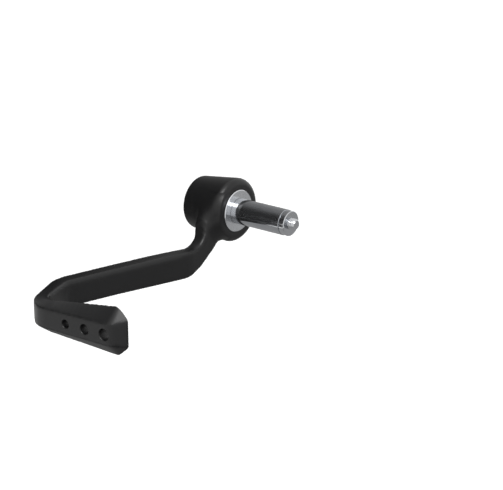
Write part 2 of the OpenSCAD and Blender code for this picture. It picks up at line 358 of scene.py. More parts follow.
def rounded_outline(corners: Sequence[Pair], radii: Sequence[float], steps: int) -> list[Pair]:
    """Rounds the corners of a flat outline.

    Args:
        corners: The outline's corners, in order.
        radii: The rounding of each corner.
        steps: The number of edges that each rounding gets.

    Returns:
        The points of the rounded outline, in order.
    """
    flat = bmesh.new()
    places = [Vector((x, y, 0)) for x, y in corners]
    flat.faces.new([flat.verts.new(p) for p in places])
    count = len(places)
    for i, (corner, radius) in enumerate(zip(places, radii)):
        half = (places[i - 1] - corner).angle(places[(i + 1) % count] - corner) / 2
        vertex = min(flat.verts, key=lambda v: (v.co - corner).length)
        bmesh.ops.bevel(
            flat,
            geom=[vertex],
            offset=radius / math.tan(half),
            offset_type="OFFSET",
            affect="VERTICES",
            segments=steps,
            profile=0.5,
            material=-1,
        )
    outline = [(loop.vert.co.x, loop.vert.co.y) for loop in list(flat.faces)[0].loops]
    flat.free()
    first = Vector(corners[0])
    start = min(range(len(outline)), key=lambda k: (Vector(outline[k]) - first).length)
    return outline[start:] + outline[:start]


def turned(profile: Sequence[Pair], steps: int = 128) -> bmesh.types.BMesh:
    """Spins an open profile about the bar axis to a closed solid.

    Args:
        profile: Points as (x, radius), which start and end on the axis or meet again.
        steps: The number of facets round the axis.

    Returns:
        The solid's mesh.
    """
    mesh = bmesh.new()
    points = [mesh.verts.new((x, 0, r)) for x, r in profile]
    edges = [mesh.edges.new(pair) for pair in zip(points, points[1:])]
    bmesh.ops.spin(
        mesh,
        geom=points + edges,
        cent=(0, 0, 0),
        axis=(1, 0, 0),
        angle=2 * math.pi,
        steps=steps,
        use_merge=True,
        use_duplicate=False,
    )
    bmesh.ops.remove_doubles(mesh, verts=mesh.verts, dist=WELD_MM)
    bmesh.ops.recalc_face_normals(mesh, faces=mesh.faces)
    return mesh


def to_object(mesh: bmesh.types.BMesh, name: str) -> bpy.types.Object:
    """Makes a scene object of a finished bmesh, and frees it.

    Args:
        mesh: The bmesh, in millimetres.
        name: The object's name.

    Returns:
        The object, still in millimetres.
    """
    data = bpy.data.meshes.new(name)
    mesh.to_mesh(data)
    mesh.free()
    thing = bpy.data.objects.new(name, data)
    bpy.context.scene.collection.objects.link(thing)
    return thing


def settle(thing: bpy.types.Object) -> None:
    """Applies an object's modifiers to its mesh.

    Args:
        thing: The object.
    """
    bpy.context.view_layer.update()
    evaluated = thing.evaluated_get(bpy.context.evaluated_depsgraph_get())
    data = bpy.data.meshes.new_from_object(evaluated)
    thing.modifiers.clear()
    thing.data = data


def add_boolean(thing: bpy.types.Object, other: bpy.types.Object, operation: str) -> None:
    """Adds an exact boolean with another solid to an object's modifiers.

    Args:
        thing: The object that gets the modifier.
        other: The other solid.
        operation: Blender's word for what is done with it.
    """
    boolean = thing.modifiers.new(operation.lower(), "BOOLEAN")
    boolean.operation, boolean.solver, boolean.object = operation, "EXACT", other


def cut(thing: bpy.types.Object, cutters: Sequence[bpy.types.Object]) -> None:
    """Cuts solids away from an object, and removes them.

    Args:
        thing: The object that is cut.
        cutters: The solids.
    """
    for cutter in cutters:
        add_boolean(thing, cutter, "DIFFERENCE")
    settle(thing)
    for cutter in cutters:
        bpy.data.objects.remove(cutter)


def relax(mesh: bmesh.types.BMesh, verts: list[bmesh.types.BMVert], rounds: int) -> None:
    """Moves vertices halfway to the mean of their neighbours, again and again.

    Args:
        mesh: The mesh.
        verts: The vertices that move.
        rounds: The number of rounds.
    """
    axes = {f"use_axis_{axis}": True for axis in "xyz"}
    for _ in range(rounds):
        bmesh.ops.smooth_vert(mesh, verts=verts, factor=0.5, **axes)


def finish_piece(
    thing: bpy.types.Object,
    material: bpy.types.Material,
    node: str,
    sharp_angle: float = 30.0,
) -> bpy.types.Object:
    """Brings a piece to metres, shades it, dresses it and puts it in its node's place.

    Args:
        thing: The piece, in millimetres.
        material: Its finish.
        node: The CAD node that the piece stands for.
        sharp_angle: Edges that turn more than this many degrees stay sharp.

    Returns:
        The same piece, in metres.
    """
    thing.data.transform(Matrix.Scale(MM, 4))
    thing.data.polygons.foreach_set("use_smooth", [True] * len(thing.data.polygons))
    thing.data.set_sharp_from_angle(angle=math.radians(sharp_angle))
    thing.data.materials.clear()
    thing.data.materials.append(material)
    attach(thing, BODY)
    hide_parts(node)
    return thing


# The moulding


@dataclass(frozen=True)
class Section:
    """One section of the moulding, in the plane through a point spanned by two directions.

    Attributes:
        at: The plane's origin, on the inboard face.
        out: The direction from the inboard to the outboard face.
        up: The direction along the faces.
        thick: The distance between the two faces.
        inner: Top and bottom of the inboard face, along up.
        outer: Top and bottom of the outboard face, along up.
        radii: Rounding of inner top, outer top, outer bottom and inner bottom.
    """

    at: Vector
    out: Vector
    up: Vector
    thick: float
    inner: Levels
    outer: Levels
    radii: Radii

    def ring(self, mesh: bmesh.types.BMesh, steps: int) -> list[bmesh.types.BMEdge]:
        """Adds the section's rounded outline to a mesh.

        Args:
            mesh: The mesh.
            steps: Edges on each rounded corner.

        Returns:
            The closed ring of new edges.
        """
        corners = [
            (0.0, self.inner[0]),
            (self.thick, self.outer[0]),
            (self.thick, self.outer[1]),
            (0.0, self.inner[1]),
        ]
        points = [
            mesh.verts.new(self.at + x * self.out + y * self.up)
            for x, y in rounded_outline(corners, self.radii, steps)
        ]
        return [mesh.edges.new(pair) for pair in zip(points, points[1:] + points[:1])]

    @classmethod
    def upright(
        cls, at: Vector, heading: float, thick: float, inner: Levels, outer: Levels, radii: Radii
    ) -> Section:
        """Stands a section upright at a plan point.

        Args:
            at: The plan point, on the inboard face.
            heading: The way the moulding runs there, in degrees.
            thick: The distance between the two faces.
            inner: Top and bottom of the inboard face.
            outer: Top and bottom of the outboard face.
            radii: Rounding of the four corners.

        Returns:
            The section.
        """
        turn = math.radians(heading)
        out = Vector((math.sin(turn), -math.cos(turn), 0))
        return cls(at, out, Vector((0, 0, 1)), thick, inner, outer, radii)


def mix(a: float, b: float, share: float) -> float:
    """Returns the value a given share of the way from a to b."""
    return a + (b - a) * share


def mix_all(a: Sequence[float], b: Sequence[float], share: float) -> tuple[float, ...]:
    """Returns the values a given share of the way from those of a to those of b."""
    return tuple(mix(p, q, share) for p, q in zip(a, b))


def rounded_line(corners: Sequence[Pair], radii: Sequence[float], steps: int = 8) -> list[Pair]:
    """Rounds the inner corners of a line.

    Args:
        corners: The line's corners, in order.
        radii: The rounding of each corner between the ends.
        steps: The number of stretches that each rounding gets.

    Returns:
        The points of the line, without its last corner.
    """
    places = [Vector(corner) for corner in corners]
    line = [corners[0]]
    for before, corner, after, radius in zip(places, places[1:], places[2:], radii):
        back, ahead = (before - corner).normalized(), (after - corner).normalized()
        half = back.angle(ahead) / 2
        centre = corner + (back + ahead).normalized() * radius / math.sin(half)
        first = corner + back * radius / math.tan(half) - centre
        last = corner + ahead * radius / math.tan(half) - centre
        for i in range(steps + 1):
            spot = centre + first.slerp(last, i / steps) * radius
            line.append((spot.x, spot.y))
    return line


def read_line(line: Sequence[Pair], key: float) -> float:
    """Reads the height of a line at a place along it.

    Args:
        line: The line's points.
        key: The place.

    Returns:
        The height there, held level past the line's ends.
    """
    rows = sorted(line)
    if key <= rows[0][0]:
        return rows[0][1]
    for low, high in zip(rows, rows[1:]):
        if key <= high[0]:
            return mix(low[1], high[1], (key - low[0]) / max(high[0] - low[0], 1e-9))
    return rows[-1][1]


def along(rows: Sequence[Sequence[float]], key: float) -> tuple[float, ...]:
    """Reads a table between its rows.

    Args:
        rows: Rows that start with a rising key.
        key: The key to read at.

    Returns:
        The other columns' values there.
    """
    for low, high in zip(rows, rows[1:]):
        if key <= high[0]:
            share = (key - low[0]) / (high[0] - low[0])
            smooth = share * share * (3 - 2 * share)
            return mix_all(low[1:], high[1:], mix(share, smooth, EASE))
    return tuple(rows[-1][1:])


@dataclass
class GuardMoulding:
    """The black moulding: barrel, neck, arm, two bends and the drilled blade.

    The barrel's ends and the blade's heel differ from the solid's by up to 0.2 mm, so that the
    smoothed skin comes out on the solid.

    Attributes:
        neck_start: The neck's sections inside the barrel, as y, z, tilt in degrees, width and
            shift outboard.
        neck_fan: How the neck spreads towards the barrel, as tilt in degrees, extra width and
            share of neck_flare.
        arm_start: The arm's first sections, as steps in x and y, share of arm_angle, extra
            thickness and lift of the lower edge.
        arm_swell: How the arm thickens, as share of its length and share of the way to arm_t.
        sink: How far the outboard face's upper edge has sunk towards front_top: before the first
            bend, after it and before the second.
        tip_reach: The stretch with finer sections before the tip, in lengths of tip_bevel.
        tip_power: How strongly those sections crowd towards the tip.
        lip: How far a drill widens beyond the rounded mouth of its hole.
        flat_before: The limb's flat faces are smoothed more forward of this y.
        root_smoothing: How the neck's root is smoothed, as reach from the barrel and rounds.
        root_low: The lowest corner of the box round the neck's root.
        root_high: The highest corner of that box.
        past: How far a blank or a cutter runs on past a surface.
    """

    face_step: float = 0.5
    barrel_len: float = 26.6
    barrel_in_d: float = 34.68
    barrel_out_d: float = 27.8
    round_in: float = 3.4
    round_out: float = 1.8
    round_steps: int = 14
    barrel_steps: int = 160

    neck_x: float = 4.95
    neck_t: float = 7.2
    neck_flare: float = 2.0
    neck_w: float = 10.3
    elbow_r: float = 10.2
    elbow_y: float = 30.3
    elbow_z: float = 4.7
    neck_start: Table = (
        (-12.9, 7.2, 46.0, 6.0, 2.2),
        (-15.1, 5.0, 39.0, 6.0, 1.7),
        (-16.9, 2.4, 30.0, 7.0, 1.2),
        (-18.3, 0.0, 20.0, 8.5, 0.7),
        (-19.5, -2.4, 9.0, 10.5, 0.2),
    )
    neck_fan: Table = (
        (0, 7.1, 1),
        (15, 5.6, 0.7),
        (28, 3.4, 0.3),
        (40, 0.8, 0),
        (52, 0.1, 0),
        (64, 0.4, 0),
        (77, 1.5, 0),
    )

    arm_top: float = 15.9
    arm_bottom: float = 29.4
    root_rise: float = 1.0
    arm_angle: float = 15.9
    arm_start_y: float = 32.8
    arm_len: float = 71.6
    arm_t: float = 8.9
    edge_r: float = 1.5
    inner_r: float = 1.9
    arm_start: Table = ((0, 1.5, 0.2, 0, 0.8), (-0.4, -1.5, 0.6, 0.4, 0.1))
    arm_swell: Table = ((0.09, 0.5), (0.3, 1), (0.6, 1))

    link_angle: float = 18.4
    link_len: float = 24.7
    bend1_r: float = 7.0
    bend2_r: float = 9.0
    bend1_bottom: float = 30.2
    bend1_share: float = 0.5
    bend2_bottom: float = 33.4
    bend2_t: float = 7.7
    sink: Triple = (0.1, 0.45, 0.6)
    link_shares: tuple[float, ...] = (0.2, 0.4, 0.6, 0.8)

    blade_len: float = 51.6
    blade_angle: float = 3.75
    blade_t: float = 6.7
    root_top: float = 15.2
    root_bottom: float = 32.9
    tip_top: float = 9.6
    tip_bottom: float = 35.05
    front_top: float = 17.7
    front_bottom: float = 28.0
    tip_bevel: float = 5.9
    end_top: float = 15.0
    end_bottom: float = 29.8
    rim_t: float = 0.9
    tip_upper_r: float = 4.5
    end_upper_r: float = 3.0
    end_lower_r: float = 2.2
    tip_lower_r: float = 3.0
    bevel_r: float = 6.0
    blade_r: float = 1.2
    rear_r: float = 0.4
    front_r: float = 1.2
    tip_r: float = 0.3

    hole_count: int = 3
    hole_drop: float = 23.0
    hole_from_tip: float = 9.6
    hole_pitch: float = 11.7
    hole_d: float = 5.6
    hole_step: float = 0.8
    hole_r: float = 0.7
    hole_facets: int = 64
    lip: float = 0.1

    disc_pocket_d: float = 22.3
    disc_t: float = 3.5
    weight_pocket_d: float = 20.1
    web_t: float = 2.6
    head_h: float = 5.0
    head_pocket_d: float = 14.1
    bolt_hole_d: float = 6.6
    mouth_chamfer: float = 0.25

    fan_step: float = 4.0
    bend_step: float = 3.0
    corner_steps: int = 5
    blade_steps: int = 12
    tip_steps: int = 14
    tip_reach: float = 1.3
    tip_power: float = 1.3
    voxel: float = 0.385
    smoothing: int = 3
    flat_smoothing: int = 20
    flat_cosine: float = 0.989
    flat_before: float = -24.0
    root_smoothing: tuple[tuple[float, int], ...] = ((6.0, 40), (4.5, 90), (3.0, 140))
    root_low: Triple = (-20.0, -24.0, -20.0)
    root_high: Triple = (-0.8, -6.0, 12.0)
    sharp_angle: float = 38.0
    past: float = 1.0

    @property
    def outer_face_x(self) -> float:
        """The barrel's outer end."""
        return -self.face_step - self.barrel_len

    @property
    def blade_dir(self) -> Vector:
        """The blade's direction in plan."""
        lean = math.radians(self.blade_angle)
        return Vector((math.cos(lean), math.sin(lean), 0))

    @property
    def corners(self) -> tuple[Vector, Vector, Vector, Vector]:
        """The plan corners of the inboard side.

        Returns:
            The arm's start, both bends and the tip.
        """
        start = Vector((-self.neck_x, -self.arm_start_y, 0))
        lean, link = math.radians(self.arm_angle), math.radians(self.link_angle)
        bend1 = start + self.arm_len * Vector((-math.sin(lean), -math.cos(lean), 0))
        bend2 = bend1 + self.link_len * Vector((math.sin(link), -math.cos(link), 0))
        return start, bend1, bend2, bend2 + self.blade_len * self.blade_dir

    @property
    def blade_round(self) -> Radii:
        """The rounding of the blade's corners, as in Section."""
        return self.rear_r, self.blade_r, self.blade_r, self.rear_r

    def neck_sections(self) -> list[Section]:
        """Lays the sections from inside the barrel round the elbow.

        Returns:
            The sections, from the barrel to the arm.
        """
        wide = self.neck_t + self.neck_flare
        rows = [(y, z, tilt, w, wide, shift) for y, z, tilt, w, shift in self.neck_start]
        tilt = self.neck_fan[0][0]
        while tilt <= self.neck_fan[-1][0]:
            extra, flare = along(self.neck_fan, tilt)
            turn = math.radians(tilt)
            y = self.elbow_r * math.cos(turn) - self.elbow_y
            z = -self.elbow_r * math.sin(turn) - self.elbow_z
            thick = self.neck_t + flare * self.neck_flare
            rows.append((y, z, tilt, self.neck_w + extra, thick, 0.0))
            tilt += self.fan_step
        return [
            Section(
                Vector((-self.neck_x - shift, y, z)),
                Vector((-1, 0, 0)),
                Vector((0, -math.cos(math.radians(tilt)), math.sin(math.radians(tilt)))),
                thick,
                (0, -width),
                (0, -width),
                (self.edge_r + shift / 2,) * 4,
            )
            for y, z, tilt, width, thick, shift in rows
        ]

    def bend(
        self, corner: Vector, before: float, after: float, radius: float
    ) -> list[tuple[Vector, float]]:
        """Lists the stations round a bend.

        Args:
            corner: The plan corner of the inboard side.
            before: The heading before the bend, in degrees.
            after: The heading after it.
            radius: The radius on the inboard side.

        Returns:
            The place and the heading of each station.
        """
        turn = after - before
        reach = radius * math.tan(math.radians(abs(turn)) / 2)
        h0 = math.radians(before)
        start = corner - reach * Vector((math.cos(h0), math.sin(h0), 0))
        centre = start + radius * Vector((-math.sin(h0), math.cos(h0), 0))
        count = max(2, math.ceil(abs(turn) / self.bend_step))
        stations = []
        for i in range(count + 1):
            heading = before + turn * i / count
            h = math.radians(heading)
            stations.append((centre + radius * Vector((math.sin(h), -math.cos(h), 0)), heading))
        return stations

    def arm_sections(self) -> list[Section]:
        """Stands the upright sections along arm, bends, link and blade.

        Returns:
            The sections, from the neck to the tip.
        """
        start, bend1, bend2, tip = self.corners
        heading_arm, heading_link = -90 - self.arm_angle, -90 + self.link_angle
        root = (self.root_rise - self.arm_top, -self.arm_bottom)
        arm = (-self.arm_top, -self.arm_bottom)
        sunk = [-mix(self.arm_top, self.front_top, share) for share in self.sink]
        bend1_bottom = -mix(self.arm_bottom, self.bend1_bottom, self.bend1_share)
        bend1_inner = (-self.arm_top, bend1_bottom)
        bend1_before, bend1_outer = ((top, -self.bend1_bottom) for top in sunk[:2])
        bend2_inner = (-self.arm_top, -self.bend2_bottom)
        bend2_outer = (sunk[2], -mix(self.bend1_bottom, self.front_bottom, self.sink[2]))
        blade_inner = (-self.root_top, -self.root_bottom)
        blade_outer = (-self.front_top, -self.front_bottom)
        neck_round = (self.edge_r,) * 4
        arm_round = (self.inner_r, *neck_round[1:])

        rows = []
        for dx, dy, lean, extra, lift in self.arm_start:
            levels = (root[0], root[1] + lift)
            at, heading = start + Vector((dx, dy, 0)), -90 - self.arm_angle * lean
            rows.append((at, heading, self.neck_t + extra, levels, levels, neck_round))
        for share, swell in self.arm_swell:
            levels = mix_all(root, arm, share)
            at, thick = start.lerp(bend1, share), mix(self.neck_t, self.arm_t, swell)
            rows.append((at, heading_arm, thick, levels, levels, arm_round))
        first = self.bend(bend1, heading_arm, heading_link, self.bend1_r)
        for at, heading in first:
            share = (heading - heading_arm) / (heading_link - heading_arm)
            levels = mix_all(bend1_before, bend1_outer, share)
            rows.append((at, heading, self.arm_t, bend1_inner, levels, arm_round))
        second = self.bend(bend2, heading_link, self.blade_angle, self.bend2_r)
        for share in self.link_shares:
            row = (
                first[-1][0].lerp(second[0][0], share),
                heading_link,
                mix(self.arm_t, self.bend2_t, share),
                mix_all(bend1_inner, bend2_inner, share),
                mix_all(bend1_outer, bend2_outer, share),
                arm_round,
            )
            rows.append(row)
        for at, heading in second:
            share = (heading - heading_link) / (self.blade_angle - heading_link)
            row = (
                at,
                heading,
                mix(self.bend2_t, self.blade_t, share),
                mix_all(bend2_inner, blade_inner, share),
                mix_all(bend2_outer, blade_outer, share),
                mix_all(arm_round, self.blade_round, share),
            )
            rows.append(row)
        sections = [Section.upright(*row) for row in rows]
        return sections + self.blade_sections((tip - second[-1][0]).length)

    def blade_sections(self, span: float) -> list[Section]:
        """Stands the blade's sections, whose outline is rounded round the tip.

        Args:
            span: The distance from the second bend's end to the tip.

        Returns:
            The sections, from the root to the tip.
        """
        bevel, tip = self.tip_bevel, self.corners[3]
        front = (-self.front_top, -self.front_bottom)
        top, bottom = (0.0, -self.end_top), (0.0, -self.end_bottom)
        upper = rounded_line(
            [(span, -self.root_top), (bevel, -self.tip_top), top, bottom],
            (self.tip_upper_r, self.end_upper_r),
        )
        lower = rounded_line(
            [(span, -self.root_bottom), (bevel, -self.tip_bottom), bottom, top],
            (self.tip_lower_r, self.end_lower_r),
        )
        rim = (0.0, self.rim_t)
        thick = rounded_line([(span, self.blade_t), (bevel, self.blade_t), rim], (self.bevel_r,))
        thick.append(rim)
        end = (read_line(upper, 0.0), read_line(lower, 0.0))
        end_round = (self.tip_r,) * 4
        tip_round = (self.tip_r, self.front_r, self.front_r, self.tip_r)
        near = bevel * self.tip_reach
        shares = [1 - i / self.tip_steps for i in range(self.tip_steps + 1)]
        places = [mix(span, near, i / self.blade_steps) for i in range(1, self.blade_steps)]
        places += [near * share**self.tip_power for share in shares]
        sections = []
        for place in places:
            share = min(1.0, place / bevel)
            radii = mix_all(tip_round, self.blade_round, place / span)
            if place < bevel:
                radii = mix_all(end_round, tip_round, share)
            inner = (read_line(upper, place), read_line(lower, place))
            outer = mix_all(end, front, share)
            at, depth = tip - place * self.blade_dir, read_line(thick, place)
            sections.append(Section.upright(at, self.blade_angle, depth, inner, outer, radii))
        return sections

    def limb(self) -> bmesh.types.BMesh:
        """Bridges the sections of neck, arm and blade to one closed skin.

        Returns:
            The skin's mesh.
        """
        mesh = bmesh.new()
        sections = self.neck_sections() + self.arm_sections()
        rings = [section.ring(mesh, self.corner_steps) for section in sections]
        for ring, following in zip(rings, rings[1:]):
            bmesh.ops.bridge_loops(mesh, edges=ring + following)
        for ring in (rings[0], rings[-1]):
            bmesh.ops.contextual_create(mesh, geom=ring)
        bmesh.ops.recalc_face_normals(mesh, faces=mesh.faces)
        return mesh

    def barrel(self) -> bmesh.types.BMesh:
        """Spins the tapered barrel.

        Returns:
            The barrel's mesh, a solid blank.
        """
        outer, inner = self.outer_face_x, -self.face_step
        corners = [
            (outer, -self.past),
            (outer, self.barrel_out_d / 2),
            (inner, self.barrel_in_d / 2),
            (inner, -self.past),
        ]
        radii = (SQUARE_MM, self.round_out, self.round_in, SQUARE_MM)
        outline = rounded_outline(corners, radii, self.round_steps)
        profile = [point for point in outline if point[1] > 0]
        return turned([(outer, 0.0), *profile, (inner, 0.0)], self.barrel_steps)

    def near_root(self, place: Vector, reach: float) -> bool:
        """Tells whether a point lies where the neck grows out of the barrel.

        Args:
            place: The point.
            reach: The distance from the barrel's surface that still counts.

        Returns:
            True within that reach and inside the box round the neck's root.
        """
        share = (-self.face_step - place.x) / self.barrel_len
        barrel_r = mix(self.barrel_in_d, self.barrel_out_d, share) / 2
        in_box = all(a < c < b for a, c, b in zip(self.root_low, place, self.root_high))
        return in_box and abs(math.hypot(place.y, place.z) - barrel_r) < reach

    def is_flat(self, vertex: bmesh.types.BMVert) -> bool:
        """Tells whether a vertex of arm or blade lies among faces nearly in one plane."""
        level = all(face.normal.dot(vertex.normal) > self.flat_cosine for face in vertex.link_faces)
        return level and vertex.co.y < self.flat_before

    def soften(self, thing: bpy.types.Object) -> None:
        """Smooths the skin a little all over, and the neck's root more, to a moulded fillet.

        Args:
            thing: The joined and remeshed skin.
        """
        soft = bmesh.new()
        soft.from_mesh(thing.data)
        levels = [
            ([v for v in soft.verts if self.near_root(v.co, reach)], rounds)
            for reach, rounds in self.root_smoothing
        ]
        for verts, rounds in (*levels, (list(soft.verts), self.smoothing)):
            relax(soft, verts, rounds)
        soft.normal_update()
        relax(soft, [v for v in soft.verts if self.is_flat(v)], self.flat_smoothing)
        soft.to_mesh(thing.data)
        soft.free()

    def bore(self) -> bpy.types.Object:
        """Makes the stepped solid that is cut away on the bar axis.

        Returns:
            The cutter, with a chamfer at each mouth.
        """
        outer, inner = self.outer_face_x, -self.face_step
        chamfer, past = self.mouth_chamfer, self.past
        seat, web = outer + self.head_h, outer + self.head_h + self.web_t
        head, bolt = self.head_pocket_d / 2, self.bolt_hole_d / 2
        weight, disc = self.weight_pocket_d / 2, self.disc_pocket_d / 2
        profile = [
            (outer - past, 0.0),
            (outer - past, head + chamfer + past),
            (outer + chamfer, head),
            (seat, head),
            (seat, bolt),
            (web, bolt),
            (web, weight),
            (-self.disc_t, weight),
            (-self.disc_t, disc),
            (inner - chamfer, disc),
            (inner + past, disc + chamfer + past),
            (inner + past, 0.0),
        ]
        return to_object(turned(profile), "bore_cutter")

    def drill(self, number: int) -> bpy.types.Object:
        """Makes the solid that is cut away for one of the blade's holes.

        Args:
            number: The hole's number, from the tip.

        Returns:
            The cutter, square to the blade and rounded where it comes out.
        """
        radius = (self.hole_d - number * self.hole_step) / 2
        wide, face, lip = radius + self.hole_r, self.blade_t, self.lip
        mouth = rounded_line(
            [(-self.past, radius), (face, radius), (face + lip, wide + lip)], (self.hole_r,)
        )
        end = face + 2 * lip
        profile = [(-self.past, 0.0), *mouth, (end, wide + 2 * lip), (end, 0.0)]
        mesh = turned(profile, self.hole_facets)
        place = self.corners[3] - (self.hole_from_tip + number * self.hole_pitch) * self.blade_dir
        turn = Matrix.Rotation(math.radians(self.blade_angle - 90), 4, "Z")
        spot = Matrix.Translation((place.x, place.y, -self.hole_drop))
        bmesh.ops.transform(mesh, matrix=spot @ turn, verts=mesh.verts)
        return to_object(mesh, f"drill_{number}")

    def build(self, material: bpy.types.Material) -> bpy.types.Object:
        """Makes the moulding: a blended skin of barrel and limb, with its holes cut.

        Args:
            material: The moulding's finish.

        Returns:
            The finished piece.
        """
        limb = to_object(self.limb(), "guard_shell")
        barrel = to_object(self.barrel(), "barrel_blank")
        add_boolean(limb, barrel, "UNION")
        remesh = limb.modifiers.new("blend", "REMESH")
        remesh.mode, remesh.voxel_size, remesh.adaptivity = "VOXEL", self.voxel, 0.0
        settle(limb)
        bpy.data.objects.remove(barrel)
        self.soften(limb)
        cut(limb, [self.bore(), *(self.drill(i) for i in range(self.hole_count))])
        return finish_piece(limb, material, "guard_moulding", self.sharp_angle)


# The turned pieces


@dataclass
class SpacerDisc:
    """The polished disc that the bar's end butts on, with the cone that spreads the sleeve."""

    disc_d: float = 22.2
    disc_t: float = 3.5
    relief_d: float = 13.8
    relief_depth: float = 0.5
    cone_d: float = 11.8
    cone_tip_d: float = 9.0
    cone_len: float = 5.0
    bore_d: float = 6.6
    chamfer: float = 0.3

    def build(self, material: bpy.types.Material) -> bpy.types.Object:
        """Spins the disc.

        Args:
            material: Its finish.

        Returns:
            The finished piece.
        """
        r, c, bore, cone = self.disc_d / 2, self.chamfer, self.bore_d / 2, self.cone_d / 2
        profile = [
            (-self.disc_t, bore),
            (-self.disc_t, r - c),
            (-self.disc_t + c, r),
            (-c, r),
            (0.0, r - c),
            (0.0, self.relief_d / 2),
            (-self.relief_depth, self.relief_d / 2),
            (-self.relief_depth, cone),
            (0.0, cone),
            (self.cone_len, self.cone_tip_d / 2),
            (self.cone_len, bore),
            (-self.disc_t, bore),
        ]
        piece = to_object(turned(profile), "spacer_disc_polished")
        return finish_piece(piece, material, "spacer_disc")


@dataclass
class ExpanderSleeve:
    """The split sleeve that grips the bore of the handlebar."""

    stem_d: float = 13.5
    start_x: float = 0.0
    end_x: float = 31.1
    bore_d: float = 9.0
    cone_d: float = 11.8
    cone_len: float = 5.0
    slit_w: float = 1.2
    slit_angle: float = -45.0
    rim: float = 0.12
    past: float = 1.0

    def build(self, material: bpy.types.Material) -> bpy.types.Object:
        """Spins the sleeve and cuts its slit.

        Args:
            material: Its finish.

        Returns:
            The finished piece.
        """
        r, cone, bore = self.stem_d / 2, self.cone_d / 2, self.bore_d / 2
        start, end = self.start_x, self.end_x
        profile = [
            (start, cone),
            (start, r),
            (end - self.rim, r),
            (end, r - self.rim),
            (end, cone),
            (end - self.cone_len, bore),
            (start + self.cone_len, bore),
            (start, cone),
        ]
        piece = to_object(turned(profile), "expander_sleeve_split")
        blade = bmesh.new()
        bmesh.ops.create_cube(blade, size=1.0)
        length = end - start + 2 * self.past
        size = Matrix.Diagonal((length, self.stem_d, self.slit_w, 1))
        spot = Matrix.Translation((start - self.past + length / 2, r, 0))
        turn = Matrix.Rotation(math.radians(self.slit_angle), 4, "X")
        bmesh.ops.transform(blade, matrix=turn @ spot @ size, verts=blade.verts)
        cut(piece, [to_object(blade, "slit_cutter")])
        return finish_piece(piece, material, "expander_sleeve")


@dataclass
class TaperNut:
    """The nut whose cone spreads the sleeve's inner end."""

    rim_d: float = 13.0
    rim_t: float = 3.3
    start_x: float = 31.1
    cone_d: float = 11.8
    cone_tip_d: float = 9.0
    cone_len: float = 5.0
    thread_d: float = 6.0
    chamfer: float = 0.3

    def build(self, material: bpy.types.Material) -> bpy.types.Object:
        """Spins the nut.

        Args:
            material: Its finish.

        Returns:
            The finished piece.
        """
        r, c, bore = self.rim_d / 2, self.chamfer, self.thread_d / 2
        start, end, tip = self.start_x, self.start_x + self.rim_t, self.start_x - self.cone_len
        profile = [
            (tip, bore),
            (tip, self.cone_tip_d / 2),
            (start, self.cone_d / 2),
            (start, r - c),
            (start + c, r),
            (end - c, r),
            (end, r - c),
            (end, bore),
            (tip, bore),
        ]
        piece = to_object(turned(profile), "taper_nut_turned")
        return finish_piece(piece, material, "taper_nut")


@dataclass
class ClampBolt:
    """The clamp bolt: wide flat head with a round recess, hexagon socket and threaded tip."""

    head_x: float = -27.1
    head_h: float = 5.0
    head_d: float = 14.0
    dish_d: float = 8.0
    dish_depth: float = 0.8
    hex_af: float = 5.0
    hex_depth: float = 2.6
    shank_d: float = 6.0
    tip_x: float = 37.9
    tip_chamfer: float = 0.8
    chamfer: float = 0.3
    dish_chamfer: float = 0.2
    thread_from_x: float = 24.0
    pitch: float = 1.0
    thread_steps: int = 10
    thread_depth: float = 0.55
    crest: float = 0.12

    def thread_radius(self, place: Vector) -> float:
        """Returns the radius of the right-hand thread's surface at a place.

        Args:
            place: A point of the shank.

        Returns:
            The radius, between the thread's crest and its root.
        """
        turns = place.x / self.pitch - math.atan2(place.z, place.y) / (2 * math.pi)
        flank = 1 - abs(2 * (turns % 1.0) - 1)
        depth = min(1.0, max(0.0, (flank - self.crest) / (1 - 2 * self.crest)))
        return self.shank_d / 2 - depth * self.thread_depth

    def build(self, material: bpy.types.Material) -> bpy.types.Object:
        """Spins the bolt and cuts its socket.

        Args:
            material: Its finish.

        Returns:
            The finished piece.
        """
        r, c, shank = self.head_d / 2, self.chamfer, self.shank_d / 2
        head, dish, edge = self.head_x, self.dish_d / 2, self.dish_chamfer
        floor, under = head + self.dish_depth, head + self.head_h
        end = self.tip_x - self.tip_chamfer
        count = int((end - self.thread_from_x) / self.pitch * self.thread_steps)
        stations = [self.thread_from_x + i * self.pitch / self.thread_steps for i in range(count)]
        profile = [
            (floor, 0.0),
            (floor, dish),
            (head + edge, dish),
            (head, dish + edge),
            (head, r - c),
            (head + c, r),
            (under - c, r),
            (under, r - c),
            (under, shank),
            *((station, shank) for station in stations),
            (end, shank),
            (self.tip_x, shank - self.tip_chamfer),
            (self.tip_x, 0.0),
        ]
        mesh = turned(profile)
        for vertex in mesh.verts:
            radius, thread = math.hypot(vertex.co.y, vertex.co.z), self.thread_radius(vertex.co)
            if vertex.co.x >= self.thread_from_x and radius > thread:
                share = thread / radius
                vertex.co.y, vertex.co.z = vertex.co.y * share, vertex.co.z * share
        piece = to_object(mesh, "clamp_bolt_plated")
        socket = bmesh.new()
        corner = self.hex_af / 2 / math.cos(math.pi / 6)
        bmesh.ops.create_cone(
            socket,
            cap_ends=True,
            segments=6,
            radius1=corner,
            radius2=corner,
            depth=2 * self.hex_depth,
        )
        place = Matrix.Translation((floor, 0, 0)) @ Matrix.Rotation(math.pi / 2, 4, "Y")
        bmesh.ops.transform(socket, matrix=place, verts=socket.verts)
        cut(piece, [to_object(socket, "socket_cutter")])
        return finish_piece(piece, material, "clamp_bolt")


# Studio


